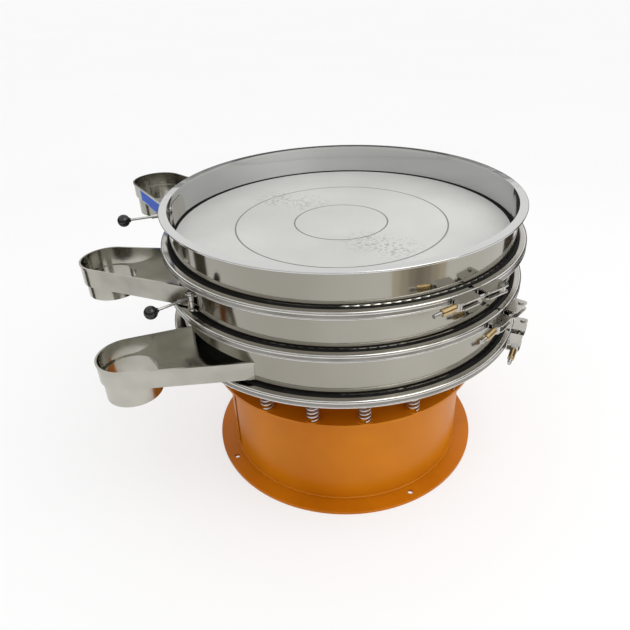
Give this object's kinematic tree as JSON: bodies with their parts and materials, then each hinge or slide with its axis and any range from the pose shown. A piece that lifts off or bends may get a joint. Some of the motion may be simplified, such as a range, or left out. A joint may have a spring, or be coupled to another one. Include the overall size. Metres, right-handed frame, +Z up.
{
  "type": "circular vibrating sieve",
  "caption": "Round vibrating sieve with stacked clamped frames, screens, open side spouts with ball-knob gate levers, coil springs and a flanged drum base.",
  "frame": {"origin": "centre of the base flange's underside, on the machine's upright axis", "axes": "+Z up along the machine's axis, +X to the viewer's right and -Y towards the viewer of the reference view, with the spouts on the -X side"},
  "size_m": [1.3104, 1.0625, 0.85],
  "materials": {
    "steel": "mirror polished stainless sheet",
    "rim": "satin stainless",
    "cloth": "fine woven wire",
    "paint": "gloss orange enamel",
    "spring": "bright plated wire",
    "rubber": "black rubber",
    "brass": "turned brass",
    "knob": "black moulded ball",
    "bolt": "turned stainless",
    "motor": "grey enamel",
    "weight": "machined casting"
  },
  "bodies": {
    "base": {"base_flange": "paint", "base_drum": "paint", "drum_cable_gland": "rubber", "spring_shelf": "paint", "lower_spring_seats": "paint"},
    "rotor": {"rotor_shaft": "bolt", "upper_eccentric_weight": "weight", "lower_eccentric_weight": "weight"},
    "top_gate": {"top_gate_leaf": "steel", "top_gate_pin": "bolt", "top_gate_lever": "bolt", "top_lever_knob": "knob"},
    "middle_gate": {"middle_gate_leaf": "steel", "middle_gate_pin": "bolt", "middle_gate_lever": "bolt", "middle_lever_knob": "knob"},
    "top_bolt": {"top_swing_bolt": "bolt"},
    "top_nut": {"top_barrel_nut": "brass"},
    "middle_bolt": {"middle_swing_bolt": "bolt"},
    "middle_nut": {"middle_barrel_nut": "brass"},
    "bottom_bolt": {"bottom_swing_bolt": "bolt"},
    "bottom_nut": {"bottom_barrel_nut": "brass"},
    "sieve": {"upper_spring_seats": "paint", "coil_springs": "spring", "motor_body": "motor", "motor_end_covers": "motor", "motor_bolts": "bolt", "motor_terminal_box": "motor", "vibrating_bed": "paint", "bed_skirt": "paint", "top_frame": "steel", "middle_frame": "steel", "bottom_frame": "steel", "discharge_dome": "steel", "bed_gasket": "rubber", "upper_screen_gasket": "rubber", "upper_screen_frame": "steel", "upper_screen_mesh": "cloth", "upper_screen_rings": "steel", "lower_screen_gasket": "rubber", "lower_screen_frame": "steel", "lower_screen_mesh": "cloth", "lower_screen_rings": "steel", "top_band_bead": "rubber", "top_clamp_band": "steel", "top_latch_pin": "bolt", "top_spout_trough": "steel", "top_spout_pipe": "steel", "middle_band_bead": "rubber", "middle_clamp_band": "steel", "middle_latch_pin": "bolt", "middle_spout_trough": "steel", "middle_spout_pipe": "steel", "bottom_band_bead": "rubber", "bottom_clamp_band": "steel", "bottom_latch_pin": "bolt", "bottom_spout_trough": "steel", "bottom_spout_pipe": "steel", "top_gate_bracket": "steel", "middle_gate_bracket": "steel"}
  },
  "joints": [
    {"name": "bed_bounce", "type": "slide", "parent": "base", "child": "sieve", "axis": [0, 0, 1], "range_m": [-0.004, 0.004], "stiffness_N_per_m": 150000, "springref_m": 0.01367, "deforming": ["coil_springs"]},
    {"name": "rotor_spin", "type": "hinge", "parent": "sieve", "child": "rotor", "pos_m": [0, 0, 0.3], "axis": [0, 0, 1], "continuous": true},
    {"name": "top_gate_swing", "type": "hinge", "parent": "sieve", "child": "top_gate", "pos_m": [-0.5107, -0.05819, 0.8043], "axis": [0, 0, -1], "range_deg": [0, 60]},
    {"name": "middle_gate_swing", "type": "hinge", "parent": "sieve", "child": "middle_gate", "pos_m": [-0.39085, -0.33382, 0.6833], "axis": [0, 0, -1], "range_deg": [0, 60]},
    {"name": "top_bolt_swing", "type": "hinge", "parent": "sieve", "child": "top_bolt", "pos_m": [0.37712, -0.40337, 0.7433], "axis": [0, 0, 1], "range_deg": [0, 110]},
    {"name": "top_nut_turn", "type": "hinge", "parent": "top_bolt", "child": "top_nut", "pos_m": [0.23692, -0.50523, 0.7433], "axis": [-0.809, -0.5878, 0], "continuous": true},
    {"name": "middle_bolt_swing", "type": "hinge", "parent": "sieve", "child": "middle_bolt", "pos_m": [0.46867, -0.29202, 0.6274], "axis": [0, 0, 1], "range_deg": [0, 110]},
    {"name": "middle_nut_turn", "type": "hinge", "parent": "middle_bolt", "child": "middle_nut", "pos_m": [0.35961, -0.4267, 0.6274], "axis": [-0.6293, -0.7771, 0], "continuous": true},
    {"name": "bottom_bolt_swing", "type": "hinge", "parent": "sieve", "child": "bottom_bolt", "pos_m": [0.52828, -0.16077, 0.4913], "axis": [0, 0, 1], "range_deg": [0, 110]},
    {"name": "bottom_nut_turn", "type": "hinge", "parent": "bottom_bolt", "child": "bottom_nut", "pos_m": [0.45779, -0.31909, 0.4913], "axis": [-0.4067, -0.9135, 0], "continuous": true}
  ]
}
